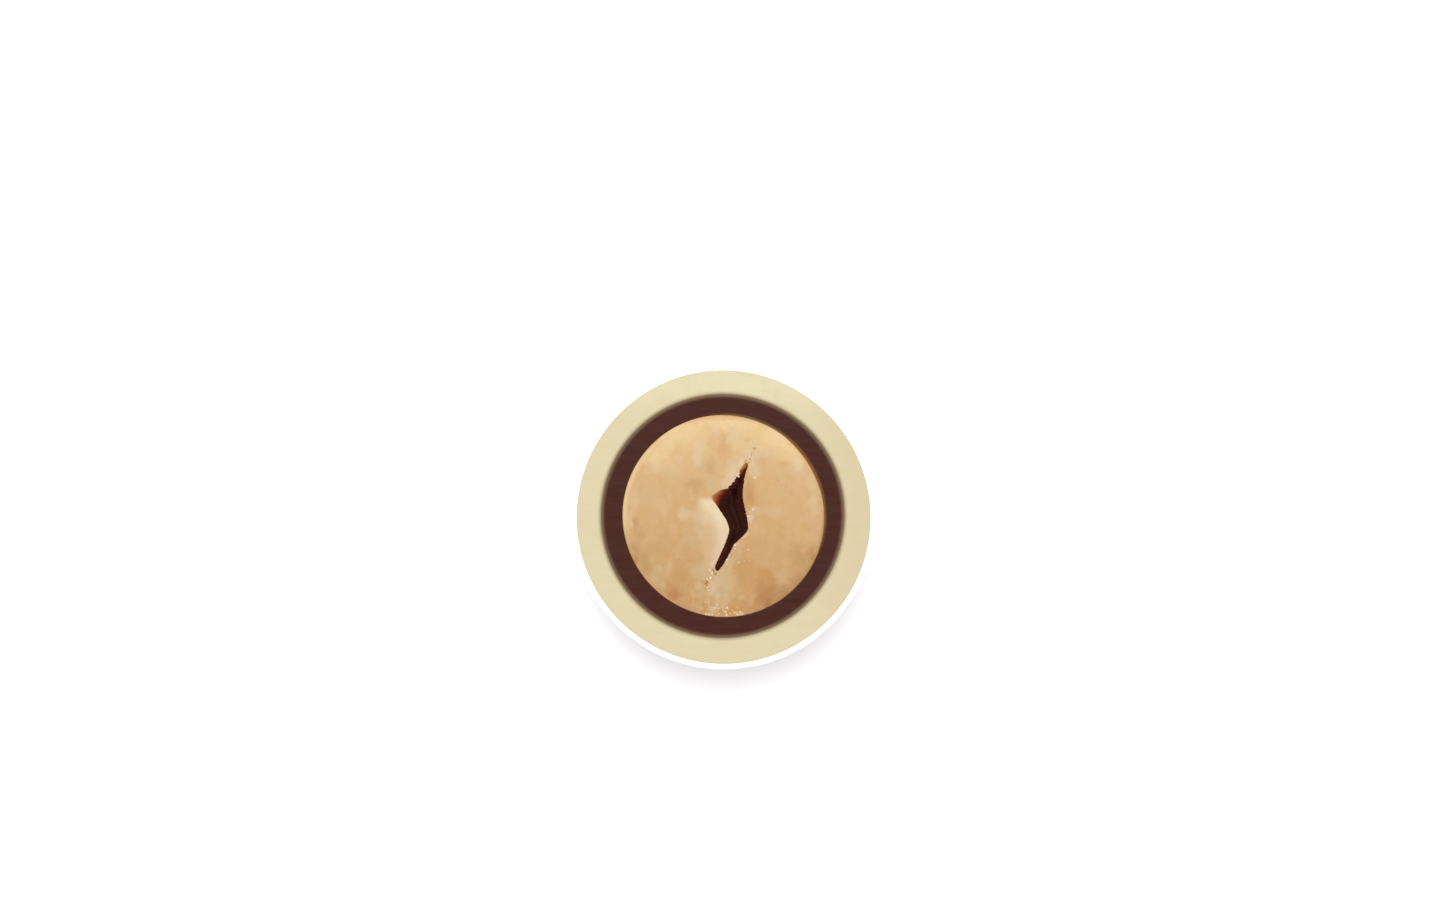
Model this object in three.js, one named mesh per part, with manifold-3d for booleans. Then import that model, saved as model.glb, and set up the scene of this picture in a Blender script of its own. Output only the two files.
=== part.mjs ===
import * as THREE from "three";
import { mergeVertices } from "three/addons/utils/BufferGeometryUtils.js";
import Module from "manifold-3d";

// Half of a sugared nut: a roasted hazelnut kernel in dark chocolate, then white chocolate, then a thin
// sugar shell, cut through the middle. It lies on its round side with the cut face up.
// Millimetres. +Z points up out of the cut face, and +Y along the kernel's hollow to its upper end.
// The origin is the middle of the small flat spot that the sugar shell rests on.

// Driving dimensions
const COATED_DIAMETER = 20;
const SUGAR_THICKNESS = 0.36;
const WHITE_THICKNESS = 1.67;
const DARK_THICKNESS = 1.35;
const REST_SPOT_RADIUS = 1.8;
const HOLLOW_DEPTH = 3.6;

// How finely the round surfaces are faceted
const TURN_SEGMENTS = 72;
const OUTER_RINGS = 15;
const INNER_RINGS = 9;
const CUTTER_RISE = 1; // how far a cutter stands above the cut face

// Sizes that follow
const SUGAR_RADIUS = COATED_DIAMETER / 2;
const WHITE_RADIUS = SUGAR_RADIUS - SUGAR_THICKNESS;
const DARK_RADIUS = WHITE_RADIUS - WHITE_THICKNESS;
const KERNEL_RADIUS = DARK_RADIUS - DARK_THICKNESS;
const REST_DEPTH = Math.sqrt(SUGAR_RADIUS ** 2 - REST_SPOT_RADIUS ** 2);
const REST_SPOT_ANGLE = Math.asin(REST_SPOT_RADIUS / SUGAR_RADIUS);

// Each layer ends at an uneven ball. Tumbling in the pan leaves it a little off centre, and up to
// `swell` more or less than its radius, in slow waves that `phase` sets.
const SUGAR = { radius: SUGAR_RADIUS, centre: [0, 0], swell: 0.04, phase: 0.6 };
const WHITE = { radius: WHITE_RADIUS, centre: [0, 0], swell: 0.04, phase: 0.9 };
const DARK = { radius: DARK_RADIUS, centre: [-0.06, 0.09], swell: 0.06, phase: 2.3 };
const KERNEL = { radius: KERNEL_RADIUS, centre: [-0.01, 0.09], swell: 0.05, phase: 4.1 };
const WAVES = [
  { along: [2.3, 1.1, 0], phaseShare: 1 },
  { along: [0, 2.9, -1.7], phaseShare: 2.1 },
  { along: [2.2, 0, 3.1], phaseShare: 3.3 },
];
const SPOT_FADE = 3; // the swelling is whole from this many radii of the resting spot outwards

// The hollow between the kernel's two seed leaves, as its left and right walls on the cut face:
// [x, y] from the middle of the face, lower end first. Both of its ends are narrow and blunt, and the
// left wall runs back into a nook above the middle.
const LEFT_WALL = [
  [-0.43, -3.54],
  [-0.57, -3.28],
  [-0.15, -2.34],
  [0.34, -1.0],
  [0.21, -0.25],
  [-0.43, 0.75],
  [-0.79, 1.4],
  [-0.19, 1.77],
  [0.6, 2.28],
  [1.04, 2.85],
  [1.1, 3.2],
  [1.52, 3.58],
];
const RIGHT_WALL = [
  [-0.43, -3.54],
  [-0.21, -3.35],
  [0.17, -2.72],
  [0.68, -1.79],
  [1.47, -1.02],
  [1.59, -0.5],
  [1.28, 1.0],
  [1.27, 2.0],
  [1.46, 3.0],
  [1.6, 3.4],
  [1.52, 3.58],
];
const STATION_SPACING = 0.16;
const TRACE_POINTS = 400;
const HOLLOW_STEPS = 6;
const HOLLOW_FLOOR_WIDTH = 0.18; // share of its width at the cut face
const WALL_CURVE = 1.5; // the walls are steep at the mouth, and lean in further down
const WIDEST_GAP = 2.1;
const NARROWEST_GAP = 0.02;

// The pale, rounded lip where the left seed leaf dips into the hollow
const LIP_HALF_WIDTH = 0.95;
const LIP_HALF_LENGTH = 2.3;
const LIP_HALF_HEIGHT = 0.55;
const LIP_DEPTH = 0.24;
const LIP_PLACE = [-0.28, -0.35];
const LIP_TURN = THREE.MathUtils.degToRad(8);
const LIP_SEGMENTS = 24;
const LIP_RINGS = 16;

const wasm = await Module();
wasm.setup();

function solidOf(geometry) {
  const bare = geometry.clone();
  bare.deleteAttribute("normal");
  bare.deleteAttribute("uv");
  const merged = mergeVertices(bare, 1e-4);
  return new wasm.Manifold(
    new wasm.Mesh({
      numProp: 3,
      vertProperties: merged.getAttribute("position").array,
      triVerts: new Uint32Array(merged.index.array),
    }),
  );
}

function geometryOf(solid) {
  const { vertProperties, triVerts } = solid.getMesh();
  const geometry = new THREE.BufferGeometry();
  geometry.setAttribute("position", new THREE.BufferAttribute(vertProperties, 3));
  geometry.setIndex(new THREE.BufferAttribute(triVerts, 1));
  geometry.computeVertexNormals();
  return geometry;
}

// A slow wave over the ball, from -1 to 1.
function wave(direction, phase) {
  const heights = WAVES.map(({ along, phaseShare }) =>
    Math.sin(direction.dot(new THREE.Vector3(...along)) + phaseShare * phase),
  );
  return heights.reduce((sum, height) => sum + height) / WAVES.length;
}

// Moves a point of the true ball of a layer to that layer's uneven surface. Near the axis the
// swelling fades, so that the resting spot stays flat.
function uneven(point, layer) {
  const fromAxis = Math.hypot(point.x, point.y);
  const fade = THREE.MathUtils.smoothstep(fromAxis, REST_SPOT_RADIUS, SPOT_FADE * REST_SPOT_RADIUS);
  const direction = point.clone().normalize();
  const swell = layer.swell * fade * wave(direction, layer.phase);
  const [dx, dy] = layer.centre;
  return point.clone().addScaledVector(direction, swell).add(new THREE.Vector3(dx, dy, 0));
}

// The lower quarter circle of a layer, from its lowest point to the cut face, as lathe points.
function quarterCircle(layer, rings, fromAngle = 0) {
  return Array.from({ length: rings + 1 }, (_, i) => {
    const angle = THREE.MathUtils.lerp(fromAngle, Math.PI / 2, i / rings);
    return new THREE.Vector2(layer.radius * Math.sin(angle), -layer.radius * Math.cos(angle));
  });
}

// The solid inside a layer's surface, up to the cut face, or up to `rise` above it as a cutter.
function halfBall(layer, rise = 0) {
  const profile = layer === SUGAR
    ? [new THREE.Vector2(0, -REST_DEPTH), ...quarterCircle(layer, OUTER_RINGS, REST_SPOT_ANGLE)]
    : quarterCircle(layer, INNER_RINGS);
  const onSurface = profile.length;
  if (rise > 0) profile.push(new THREE.Vector2(layer.radius, rise));
  profile.push(new THREE.Vector2(0, rise));
  const geometry = new THREE.LatheGeometry(profile, TURN_SEGMENTS);
  geometry.rotateX(Math.PI / 2);
  const position = geometry.getAttribute("position");
  const point = new THREE.Vector3();
  for (let i = 0; i < position.count; i++) {
    point.fromBufferAttribute(position, i);
    if (i % profile.length < onSurface) position.setXYZ(i, ...uneven(point, layer));
  }
  return solidOf(geometry);
}

// A coating, from the inner layer's surface out to its own: a bowl with a flat rim.
function coating(outer, inner) {
  return geometryOf(halfBall(outer).subtract(halfBall(inner, CUTTER_RISE)));
}

// How far along X a wall of the hollow stands at this Y, by a smooth curve through its points.
function wallAt(wall, y) {
  const last = wall.length - 2;
  const found = wall.findIndex(([, nextY], i) => i > 0 && y <= nextY);
  const i = found < 0 ? last : found - 1;
  const [before, from, to, after] = [-1, 0, 1, 2].map(
    (step) => wall[THREE.MathUtils.clamp(i + step, 0, last + 1)],
  );
  const share = THREE.MathUtils.clamp((y - from[1]) / (to[1] - from[1]), 0, 1);
  const span = to[1] - from[1];
  const slope = (a, b) => ((b[0] - a[0]) / (b[1] - a[1])) * span;
  const [m0, m1] = [slope(before, to), slope(from, after)];
  const s2 = share * share;
  const s3 = s2 * share;
  return (
    (2 * s3 - 3 * s2 + 1) * from[0] +
    (s3 - 2 * s2 + share) * m0 +
    (3 * s2 - 2 * s3) * to[0] +
    (s3 - s2) * m1
  );
}

// The heights between the hollow's two ends where its walls get points, at equal steps along the left
// wall, so that the nook gets its share.
function wallStations() {
  const [lowest, highest] = [LEFT_WALL[0][1], LEFT_WALL.at(-1)[1]];
  const trace = Array.from({ length: TRACE_POINTS }, (_, i) => {
    const y = THREE.MathUtils.lerp(lowest, highest, i / (TRACE_POINTS - 1));
    return new THREE.Vector2(wallAt(LEFT_WALL, y), y);
  });
  const wall = new THREE.Path(trace);
  const steps = Math.round(wall.getLength() / STATION_SPACING);
  return wall.getSpacedPoints(steps).slice(1, -1).map(({ y }) => y);
}

// The hollow, as a cutter that stands a little above the cut face. It narrows as it goes down, and
// reaches deepest where it is widest.
function hollowCutter() {
  const [lowest, highest] = [LEFT_WALL[0][1], LEFT_WALL.at(-1)[1]];
  const stations = wallStations();
  const outline = new THREE.Shape([
    new THREE.Vector2(LEFT_WALL[0][0], lowest),
    ...stations.map((y) => new THREE.Vector2(wallAt(RIGHT_WALL, y), y)),
    new THREE.Vector2(LEFT_WALL.at(-1)[0], highest),
    ...stations.map((y) => new THREE.Vector2(wallAt(LEFT_WALL, y), y)).reverse(),
  ]);
  const above = HOLLOW_DEPTH / (HOLLOW_STEPS - 1);
  const geometry = new THREE.ExtrudeGeometry(outline, {
    depth: HOLLOW_DEPTH + above,
    steps: HOLLOW_STEPS,
    bevelEnabled: false,
  });
  geometry.translate(0, 0, -HOLLOW_DEPTH);
  const position = geometry.getAttribute("position");
  for (let i = 0; i < position.count; i++) {
    const [x, y, z] = [position.getX(i), position.getY(i), position.getZ(i)];
    const down = Math.max(-z, 0) / HOLLOW_DEPTH;
    const middle = (wallAt(LEFT_WALL, y) + wallAt(RIGHT_WALL, y)) / 2;
    const gap = wallAt(RIGHT_WALL, y) - wallAt(LEFT_WALL, y);
    const width = THREE.MathUtils.lerp(1, HOLLOW_FLOOR_WIDTH, down ** WALL_CURVE);
    const reach = Math.sqrt(Math.max(gap, NARROWEST_GAP) / WIDEST_GAP);
    position.setXYZ(i, middle + (x - middle) * width, y, z > 0 ? z : z * reach);
  }
  return solidOf(geometry);
}

// The shallow scoop that leaves the lip beside the hollow.
function lipCutter() {
  const geometry = new THREE.SphereGeometry(1, LIP_SEGMENTS, LIP_RINGS);
  geometry.scale(LIP_HALF_WIDTH, LIP_HALF_LENGTH, LIP_HALF_HEIGHT);
  geometry.rotateZ(LIP_TURN);
  geometry.translate(...LIP_PLACE, LIP_HALF_HEIGHT - LIP_DEPTH);
  return solidOf(geometry);
}

function kernel() {
  return geometryOf(halfBall(KERNEL).subtract(hollowCutter()).subtract(lipCutter()));
}

function piece(name, geometry, look) {
  const mesh = new THREE.Mesh(geometry, new THREE.MeshStandardMaterial({ metalness: 0, ...look }));
  mesh.name = name;
  return mesh;
}

// The pieces are made round the middle of the cut face, and lifted so that the half rests at Z = 0.
const half = new THREE.Group();
half.position.z = REST_DEPTH;
half.add(
  piece("nut_kernel", kernel(), { color: 0xd9b283, roughness: 0.55 }),
  piece("dark_chocolate", coating(DARK, KERNEL), { color: 0x4e302a, roughness: 0.4 }),
  piece("white_chocolate", coating(WHITE, DARK), { color: 0xe5d6b1, roughness: 0.45 }),
  piece("sugar_shell", coating(SUGAR, WHITE), { color: 0xe2ccce, roughness: 0.3 }),
);

const sugaredNut = new THREE.Group();
sugaredNut.add(half);

export default sugaredNut;
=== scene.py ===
from functools import partial
import math

import bmesh
import bpy
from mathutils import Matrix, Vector
from mathutils.bvhtree import BVHTree
import numpy as np


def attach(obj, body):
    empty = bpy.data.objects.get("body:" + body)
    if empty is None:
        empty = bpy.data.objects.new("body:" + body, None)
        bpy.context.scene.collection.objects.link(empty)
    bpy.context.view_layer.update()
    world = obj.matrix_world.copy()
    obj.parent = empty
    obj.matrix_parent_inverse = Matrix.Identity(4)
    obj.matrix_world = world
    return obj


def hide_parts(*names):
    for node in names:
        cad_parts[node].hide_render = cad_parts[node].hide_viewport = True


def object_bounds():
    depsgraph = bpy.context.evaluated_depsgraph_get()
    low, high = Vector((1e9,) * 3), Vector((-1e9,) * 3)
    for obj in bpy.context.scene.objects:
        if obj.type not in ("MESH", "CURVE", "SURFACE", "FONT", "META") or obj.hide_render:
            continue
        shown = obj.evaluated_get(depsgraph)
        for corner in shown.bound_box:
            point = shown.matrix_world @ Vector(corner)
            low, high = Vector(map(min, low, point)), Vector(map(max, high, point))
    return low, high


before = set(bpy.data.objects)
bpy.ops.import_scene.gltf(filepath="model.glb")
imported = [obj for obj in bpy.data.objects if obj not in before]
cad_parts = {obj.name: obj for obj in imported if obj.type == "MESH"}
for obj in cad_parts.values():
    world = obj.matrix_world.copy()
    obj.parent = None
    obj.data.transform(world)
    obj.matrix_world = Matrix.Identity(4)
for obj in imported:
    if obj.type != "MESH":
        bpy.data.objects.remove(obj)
cad_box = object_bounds()

# The camera
# The half is photographed face on, and here it lies on its round side, so the camera looks straight
# down on the cut face. Places in the photograph are pixels of its 1456 x 922 frame.
PHOTO_WIDTH, PHOTO_HEIGHT = 1456, 922
FACE_MIDDLE_PX = (723.7, 517.2)
FACE_RADIUS_PX = 152.4
SENSOR_WIDTH_MM = 36
CAMERA_ABOVE_FACE = 0.25

face_radius = (cad_box[1].x - cad_box[0].x) / 2
face_height = cad_box[1].z
metres_per_pixel = face_radius / FACE_RADIUS_PX


def set_down(name, made):
    """An object in the scene, from its mesh, lamp or camera."""
    set_object = bpy.data.objects.new(name, made)
    bpy.context.scene.collection.objects.link(set_object)
    return set_object


camera_data = bpy.data.cameras.new("camera")
camera_data.sensor_width = SENSOR_WIDTH_MM
camera_data.lens = SENSOR_WIDTH_MM * CAMERA_ABOVE_FACE / (PHOTO_WIDTH * metres_per_pixel)
camera = set_down("camera", camera_data)
camera.location = (
    (PHOTO_WIDTH / 2 - FACE_MIDDLE_PX[0]) * metres_per_pixel,
    (FACE_MIDDLE_PX[1] - PHOTO_HEIGHT / 2) * metres_per_pixel,
    face_height + CAMERA_ABOVE_FACE,
)
bpy.context.scene.camera = camera

# The nut kernel
# A blanched, roasted hazelnut, cut through. Its two seed leaves part in the middle and leave a deep,
# ragged hollow with a fissure at each end. The left leaf dips into the hollow with a smooth pale lip.
# Shapes are in millimetres from the middle of the cut face. Each layer of the sweet is an uneven ball:
# its radius and middle, how far slow waves swell it, their phase, and how much longer it is along
# which turn.
KERNEL = {"radius": 6.62, "centre": (-0.01, 0.09), "swell": 0.05, "phase": 4.1, "oval": (0.045, 2.25)}
# The slow waves: how fast each runs along X, Y and Z, and its share of the layer's phase
SLOW_WAVES = [((2.3, 1.1, 0), 1), ((0, 2.9, -1.7), 2.1), ((2.2, 0, 3.1), 3.3)]
REST_SPOT_RADIUS = 1.8
# The waves, and the sugar's dimples, are full this many radii of the spot away from the axis
FULL_WAVES, FULL_DIMPLES = 3, 2.5
HOLLOW_DEPTH = 3.6
WIDEST_GAP = 2.1
# The walls of the hollow where the knife cut them, from its lower end to its upper one. The upper
# part of the left wall broke off in small teeth.
LEFT_WALL = [
    (-0.43, -3.54), (-0.53, -3.45), (-0.57, -3.28), (-0.46, -2.97), (-0.17, -2.34), (0.18, -1.5),
    (0.34, -1.0), (0.34, -0.7), (0.2, -0.25), (-0.11, 0.25), (-0.48, 0.78), (-0.79, 1.21),
    (-0.79, 1.4), (-0.5, 1.6), (-0.17, 1.78), (0.24, 1.88), (0.6, 2.28), (0.78, 2.5),
    (0.98, 2.72), (1.0, 2.95), (1.08, 3.18), (1.24, 3.39), (1.38, 3.52), (1.5, 3.56),
]
RIGHT_WALL = [
    (-0.43, -3.54), (-0.33, -3.49), (-0.21, -3.35), (-0.03, -3.1), (0.2, -2.72), (0.46, -2.23),
    (0.62, -1.92), (0.68, -1.79), (1.04, -1.45), (1.47, -1.02), (1.58, -0.82), (1.59, -0.5),
    (1.52, 0.0), (1.3, 1.0), (1.24, 1.5), (1.29, 2.0), (1.35, 2.5), (1.47, 3.0),
    (1.6, 3.38), (1.58, 3.48), (1.5, 3.56),
]
TORN_EDGE = [
    (0.24, 1.88), (0.31, 1.89), (0.33, 2.02), (0.37, 2.06), (0.52, 2.11), (0.54, 2.16),
    (0.55, 2.27), (0.62, 2.31), (0.71, 2.31), (0.73, 2.37), (0.72, 2.48), (0.78, 2.53),
    (0.81, 2.62), (0.88, 2.66), (1.03, 2.63), (1.05, 2.69), (0.97, 2.74), (0.98, 2.8),
    (1.07, 2.82), (1.09, 2.86), (1.0, 2.91), (1.0, 2.98), (1.02, 3.05),
]


def around_axis(radius, turn, height):
    """Points this far out from the Z axis, at these turns and heights."""
    return np.stack([radius * np.cos(turn), radius * np.sin(turn), height], axis=-1)


def smooth_share(value, low, high):
    """How far a value is on its way from low to high, from 0 to 1, easing in and out."""
    share = np.clip((value - low) / (high - low), 0, 1)
    return share * share * (3 - 2 * share)


def clear_of_spot(from_axis, full):
    """How clear of the flat resting spot a point is: from 0 at its edge to 1 this many radii out."""
    return smooth_share(from_axis, REST_SPOT_RADIUS, full * REST_SPOT_RADIUS)


def layer_radius(layer, direction, clear=1):
    """How far a layer's uneven, slightly oval ball reaches in a direction from its middle. It swells
    where that is clear of the resting spot."""
    x, y = direction[..., 0], direction[..., 1]
    stretch, turn = layer["oval"]
    oval = stretch * ((x * x - y * y) * math.cos(2 * turn) + 2 * x * y * math.sin(2 * turn))
    waves = sum(np.sin(direction @ way + share * layer["phase"]) for way, share in SLOW_WAVES)
    return layer["radius"] + layer["swell"] * clear * waves / len(SLOW_WAVES) + oval


def layer_rings(layer, angles, turns):
    """Rings on a layer's uneven ball, one at each angle from its lowest point, through these turns."""
    down, turn = np.meshgrid(angles, turns, indexing="ij")
    direction = around_axis(np.sin(down), turn, -np.cos(down))
    clear = clear_of_spot(layer["radius"] * np.sin(down), FULL_WAVES)
    return direction * layer_radius(layer, direction, clear)[..., None] + [*layer["centre"], 0]


# Bumps are sums of this many waves, whose lengths are these shares of the bumps' size. They reach
# their height where they rise to this many times what is usual.
BUMP_WAVES, WAVE_LENGTHS, PEAK = 28, (0.7, 1.5), 1.6


def bumps(points, *layers):
    """Random gentle bumps. Each layer of them has its height, its size across and its seed."""
    total = 0
    for height, size, seed in layers:
        random = np.random.default_rng(seed)
        directions = random.normal(size=(BUMP_WAVES, 3))
        directions /= np.linalg.norm(directions, axis=1)[:, None]
        lengths = size * random.uniform(*WAVE_LENGTHS, BUMP_WAVES)
        phases = random.uniform(0, 2 * math.pi, BUMP_WAVES)
        turns = points @ (directions * 2 * math.pi / lengths[:, None]).T
        waves = np.sin(turns + phases).sum(axis=-1)
        total = total + height * (waves * math.sqrt(2 / BUMP_WAVES) / PEAK)
    return total


def wall_at(wall, y):
    """How far along X a wall of the hollow stands at each Y, by a smooth curve through its points."""
    knots = np.array(wall)
    last = len(knots) - 1
    start = np.clip(np.searchsorted(knots[:, 1], y) - 1, 0, last - 1)
    before, first, second, after = (knots[np.clip(start + step, 0, last)] for step in (-1, 0, 1, 2))
    span = second[..., 1] - first[..., 1]
    share = np.clip((y - first[..., 1]) / span, 0, 1)
    slope_in = (second[..., 0] - before[..., 0]) / (second[..., 1] - before[..., 1]) * span
    slope_out = (after[..., 0] - first[..., 0]) / (after[..., 1] - first[..., 1]) * span
    return (
        (2 * share**3 - 3 * share**2 + 1) * first[..., 0]
        + (share**3 - 2 * share**2 + share) * slope_in
        + (3 * share**2 - 2 * share**3) * second[..., 0]
        + (share**3 - share**2) * slope_out
    )


def torn_left_wall(y):
    """The left wall with its teeth."""
    torn_x, torn_y = np.array(TORN_EDGE).T
    is_torn = (y > torn_y[0]) & (y < torn_y[-1])
    return np.where(is_torn, np.interp(y, torn_y, torn_x), wall_at(LEFT_WALL, y))


# The kernel's mesh is made of rings: from the hollow's floor up its walls, over the cut face to the
# kernel's edge, and down round its ball. Each has the stations of the left wall and then of the right.
STATIONS, FINE_STEPS = 290, 4000
WALL_RINGS, FACE_RINGS, BALL_RINGS = 26, 72, 14
LOWEST_BALL_RING = 0.04

lowest, highest = LEFT_WALL[0][1], LEFT_WALL[-1][1]
fine_y = np.linspace(lowest, highest, FINE_STEPS)
fine_x = torn_left_wall(fine_y)
way_along = np.concatenate([[0], np.cumsum(np.hypot(np.diff(fine_x), np.diff(fine_y)))])
up_the_wall = np.linspace(0, 1, STATIONS + 1)
station_y = np.interp(up_the_wall * way_along[-1], way_along, fine_y)
left_x, right_x = torn_left_wall(station_y), wall_at(RIGHT_WALL, station_y)

# Both walls are a little rough, and less so where the hollow is narrow
LEFT_ROUGHNESS, RIGHT_ROUGHNESS, ROUGH_STEP = 0.012, 0.016, 0.1
NARROW_GAP, LEAST_OPEN = 0.5, 0.05
random = np.random.default_rng(7)
rough_y = np.arange(lowest, highest + ROUGH_STEP, ROUGH_STEP)
open_width = np.clip((right_x - left_x) / NARROW_GAP, LEAST_OPEN, 1)
for wall_x, roughness in ((left_x, LEFT_ROUGHNESS), (right_x, RIGHT_ROUGHNESS)):
    jitter = random.uniform(-1, 1, len(rough_y))
    wall_x += roughness * open_width * np.interp(station_y, rough_y, jitter)
gap = np.maximum(right_x - left_x, 0)

# What changes with the height along the hollow, as pairs of height and value. The left wall slopes
# instead of dropping in its nook and at the upper end: how far its slope runs to the right.
SLOPE_RUNS = [
    (0.6, 0.0), (0.8, 0.16), (1.0, 0.36), (1.2, 0.62), (1.5, 0.75), (1.65, 0.56), (1.78, 0.28),
    (1.88, 0.0), (2.75, 0.0), (3.0, 0.2), (3.2, 0.42), (3.4, 0.36), (3.55, 0.1),
]
SLOPE_DEPTH = 0.35
FULL_SLOPE = 0.25
# The hollow is shallower towards its two ends: its share of the full depth
DEPTHS = [
    (-3.54, 0.5), (-2.0, 0.6), (-1.2, 1.0), (2.3, 1.0), (2.7, 0.6), (2.95, 0.38),
    (3.15, 0.28), (3.35, 0.2), (3.58, 0.12),
]
LEAST_GAP = 0.02
FLOOR_WIDTH_SHARE, NARROWING_POWER = 0.18, 1.5
MOUTH_ROUNDING = 0.03
# How dark its walls are painted, as painted shade of the deep hollow, which is weaker and browner
# towards the ends
TONES = [
    (-3.54, 0.93), (-2.0, 0.95), (-1.5, 1.0), (1.7, 1.0), (2.3, 0.96), (2.6, 0.91),
    (2.8, 0.86), (3.0, 0.79), (3.15, 0.68), (3.3, 0.56), (3.5, 0.42),
]
DROP_DEPTH = 0.12
RIGHT_WALL_TONE = 1.33
# The slope is painted dark, as painted shade, from its very top at the nook's lower and upper
# corners: how dark
CORNER_TONES = [
    (0.7, 0.85), (0.9, 0.7), (1.05, 0.58), (1.2, 0.3), (1.35, 0.05), (1.55, 0.1),
    (1.65, 0.3), (1.74, 0.6), (1.8, 0.8), (1.88, 0.95),
]


def by_height(pairs, y, **ends):
    """A value at each height, from pairs of height and value."""
    heights, values = np.array(pairs).T
    return np.interp(y, heights, values, **ends)


def left_then_right(left, right):
    """One value for each point round the hollow, from its lower tip up the left and down the right."""
    return np.concatenate([left, right[..., -2:0:-1]], axis=-1)


def round_the_hollow(left, right, depth):
    """Points of the left wall and then of the right one, at the stations' heights."""
    y = np.broadcast_to(station_y, left.shape)
    sides = ((left, right), (y, y), (-depth, -depth))
    return np.stack([left_then_right(*side) for side in sides], axis=-1)


slope_run = by_height(SLOPE_RUNS, station_y)
slope_share = smooth_share(slope_run, 0, FULL_SLOPE)
depth_share = (np.arange(WALL_RINGS, 0, -1) / WALL_RINGS)[:, None] ** 2
width_share = np.maximum(gap, LEAST_GAP) / WIDEST_GAP
wall_depth = depth_share * HOLLOW_DEPTH * np.sqrt(width_share) * by_height(DEPTHS, station_y)
narrowing = 1 + (FLOOR_WIDTH_SHARE - 1) * depth_share**NARROWING_POWER
down_slope = 1 - np.exp(-wall_depth / SLOPE_DEPTH)
sloped_left = left_x + slope_run * down_slope
middle = (sloped_left + right_x) / 2
rounding = MOUTH_ROUNDING * np.clip(1 - wall_depth / MOUTH_ROUNDING, 0, 1) ** 2 * open_width
wall_left = middle + (sloped_left - middle) * narrowing - rounding
wall_right = middle + (right_x - middle) * narrowing + rounding
walls = round_the_hollow(wall_left, wall_right, wall_depth)

# How far each point of the walls is on the way from the pale mouth, at 0, to the dark inside, at 1:
# the painted shade that darkens the walls with depth
drop = np.clip(wall_depth / DROP_DEPTH, 0, 1)
darkest = by_height(TONES, station_y)
corner_painted_shade = by_height(CORNER_TONES, station_y, left=0, right=0) * drop
left_painted_shade = np.maximum(darkest * (slope_share * down_slope + (1 - slope_share) * drop), corner_painted_shade)
right_painted_shade = np.minimum(RIGHT_WALL_TONE * darkest, 1) * drop

# The kernel's edge, at turns that run from the hollow's lower end to its upper end on each side
ends_of_hollow = np.array([LEFT_WALL[0], LEFT_WALL[-1]]) - KERNEL["centre"]
lower_turn, upper_turn = np.arctan2(ends_of_hollow[:, 1], ends_of_hollow[:, 0])
left_turns = lower_turn + (upper_turn - 2 * math.pi - lower_turn) * up_the_wall
right_turns = lower_turn + (upper_turn - lower_turn) * up_the_wall
ball_angles = np.linspace(math.pi / 2, LOWEST_BALL_RING, BALL_RINGS)
ball = layer_rings(KERNEL, ball_angles, left_then_right(left_turns, right_turns))

rounded = MOUTH_ROUNDING * open_width
mouth = round_the_hollow(left_x - rounded, right_x + rounded, np.zeros(STATIONS + 1))
across_face = np.linspace(0, 1, FACE_RINGS + 1)[:-1, None, None]
face = mouth + (ball[0] - mouth) * across_face
kernel_rings = np.concatenate([walls, face, ball])

# The low relief of the cut flesh and of the walls: height, size across and seed of their bumps
FLESH_BUMPS = ((0.022, 1.6, 11), (0.010, 0.45, 12), (0.006, 0.22, 13))
WALL_BUMPS, BUMPY_FROM_DEPTH = (0.015, 0.9, 14), (0.1, 0.6)
LEVEL_EDGE, RELIEF_REACH = 0.5, 0.3
LIP_PLACE, LIP_TURN, LIP_DEPTH = (-0.28, -0.35), math.radians(8), 0.24
LIP_HALF_WIDTH, LIP_HALF_LENGTH, LIP_REACH = 0.95, 2.3, 0.95


def from_kernel_edge(points):
    """How far inside the kernel's edge a point of the cut face lies."""
    local = points - [*KERNEL["centre"], 0]
    local[..., 2] = 0
    distance = np.linalg.norm(local, axis=-1)
    direction = local / np.maximum(distance, 0.001)[..., None]
    return layer_radius(KERNEL, direction) - distance


def lip_dip(points):
    """How far the lip dips below the cut face."""
    x, y = points[..., 0] - LIP_PLACE[0], points[..., 1] - LIP_PLACE[1]
    across = (x * math.cos(LIP_TURN) + y * math.sin(LIP_TURN)) / LIP_HALF_WIDTH
    along = (y * math.cos(LIP_TURN) - x * math.sin(LIP_TURN)) / LIP_HALF_LENGTH
    return LIP_DEPTH * smooth_share(np.hypot(across, along), LIP_REACH, 0)


def kernel_relief(points):
    """The low relief of the cut flesh, which evens out towards the kernel's edge."""
    relief = bumps(points * [1, 1, 0], *FLESH_BUMPS)
    return relief * smooth_share(from_kernel_edge(points), 0, LEVEL_EDGE) - lip_dip(points)


ring_number = np.arange(len(kernel_rings))[:, None]
hollow_depth = np.maximum(-kernel_rings[..., 2], 0) * (ring_number < WALL_RINGS)
wall_tone = np.zeros(hollow_depth.shape)
wall_tone[:WALL_RINGS] = left_then_right(left_painted_shade, right_painted_shade)
edge_distance = from_kernel_edge(kernel_rings)
on_top = np.exp(-hollow_depth / RELIEF_REACH) * (ring_number < WALL_RINGS + FACE_RINGS)
kernel_rings[..., 2] += kernel_relief(kernel_rings) * on_top
bumpy = smooth_share(hollow_depth[:WALL_RINGS], *BUMPY_FROM_DEPTH)
kernel_rings[:WALL_RINGS, :, 0] += bumps(walls, WALL_BUMPS) * bumpy
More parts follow.
